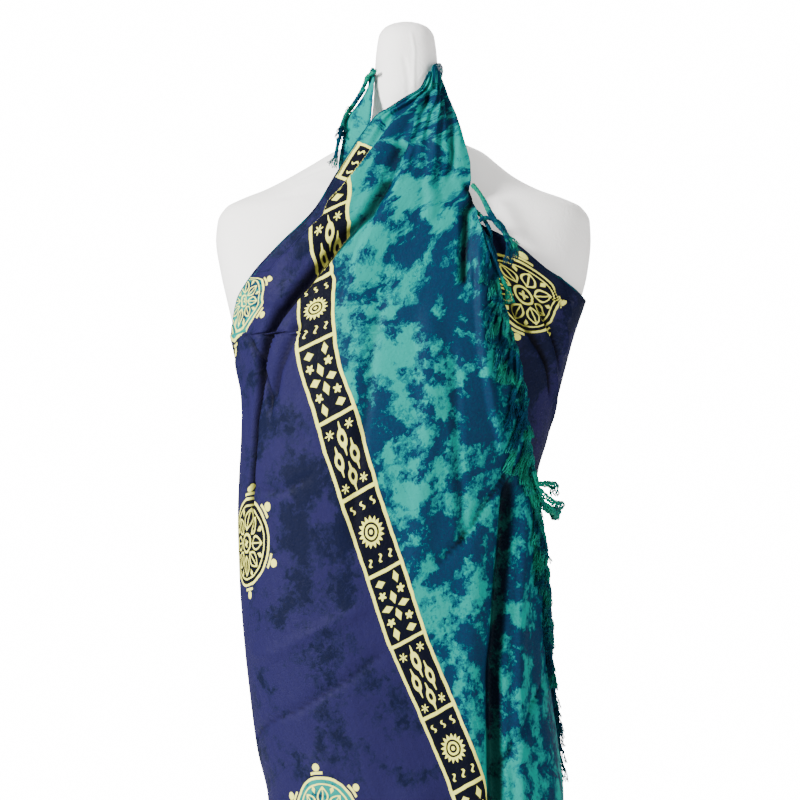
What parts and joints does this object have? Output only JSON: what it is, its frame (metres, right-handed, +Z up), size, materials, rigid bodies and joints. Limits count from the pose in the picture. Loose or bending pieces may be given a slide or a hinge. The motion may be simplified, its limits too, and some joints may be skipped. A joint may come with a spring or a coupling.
{
  "type": "sarong on dress form",
  "caption": "Fringed rayon sarong with tie-dye and stamped batik band, tied as a halter dress on a limbless dress form with pole and round base.",
  "frame": {"origin": "centre of the underside of the round base", "axes": "+Z up, the garment's front faces -Y, +X is to the right of someone who looks at the front"},
  "size_m": [0.397, 0.31, 1.52],
  "materials": {
    "teal_cloth": "soft rayon, tie-dyed teal and blue, with a stamped batik band",
    "violet_cloth": "soft rayon, tie-dyed violet and navy, with stamped rosettes",
    "fringe_yarn": "twisted rayon yarn, knotted, with loose ends",
    "form_cover": "white jersey cover over padding",
    "stand_enamel": "white enamel",
    "stand_steel": "brushed"
  },
  "bodies": {
    "root": {"form_torso": "form_cover", "form_collar": "stand_steel", "form_pole": "stand_steel", "form_hub": "stand_steel", "form_base": "stand_enamel", "cloth_over": "teal_cloth", "cloth_back": "violet_cloth", "cloth_under": "violet_cloth", "tie_right": "teal_cloth", "tie_left": "teal_cloth", "neck_knot": "teal_cloth", "tail_right": "teal_cloth", "tail_left": "teal_cloth", "fringe_over": "fringe_yarn", "fringe_under": "fringe_yarn", "tail_fringe_right": "fringe_yarn", "tail_fringe_left": "fringe_yarn"}
  },
  "joints": []
}
